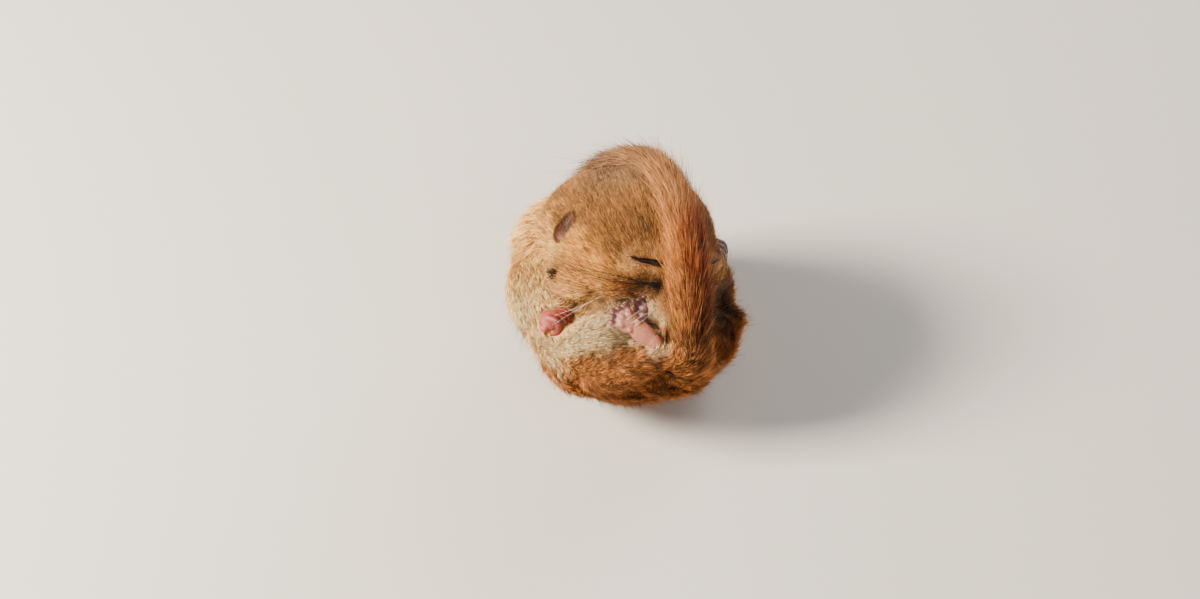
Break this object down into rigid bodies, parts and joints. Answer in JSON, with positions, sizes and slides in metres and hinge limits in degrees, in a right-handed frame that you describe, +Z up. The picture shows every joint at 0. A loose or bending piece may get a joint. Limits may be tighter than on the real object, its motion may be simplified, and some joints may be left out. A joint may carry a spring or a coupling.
{
  "type": "hazel dormouse",
  "caption": "Life-size sleeping hazel dormouse curled in a ball, with its tail laid over its face and crown and its paws folded in.",
  "frame": {"origin": "centre of the bounding box on the plane that the curled animal lies on", "axes": "+Z up, -Y towards the viewer who sees its face, belly side and feet from above, +X to that viewer's right"},
  "size_m": [0.042, 0.045, 0.0427],
  "materials": {
    "orange_coat": "soft dense fur, tawny orange with darker tips",
    "pale_coat": "soft dense fur, cream to pale buff",
    "paw_skin": "bare pink skin with a damp sheen",
    "ear_skin": "thin bare skin with a fine down",
    "eyelid_skin": "shut lids with a fine down and a black rim",
    "nose_skin": "bare moist skin"
  },
  "bodies": {
    "root": {"belly": "pale_coat", "head": "orange_coat", "left_ear": "ear_skin", "left_eye": "eyelid_skin", "left_flank": "pale_coat", "left_forearm": "pale_coat", "left_forepaw": "paw_skin", "left_hind_foot": "paw_skin", "left_shank": "orange_coat", "left_thigh": "orange_coat", "lower_jaw": "pale_coat", "neck": "orange_coat", "nose": "nose_skin", "right_ear": "ear_skin", "right_eye": "eyelid_skin", "right_flank": "pale_coat", "right_forearm": "pale_coat", "right_forepaw": "paw_skin", "right_hind_foot": "paw_skin", "right_shank": "orange_coat", "right_thigh": "orange_coat", "rump": "orange_coat", "tail_base": "orange_coat", "tail_middle": "orange_coat", "tail_tip": "orange_coat", "tail_upper": "orange_coat", "torso": "orange_coat"}
  },
  "joints": []
}
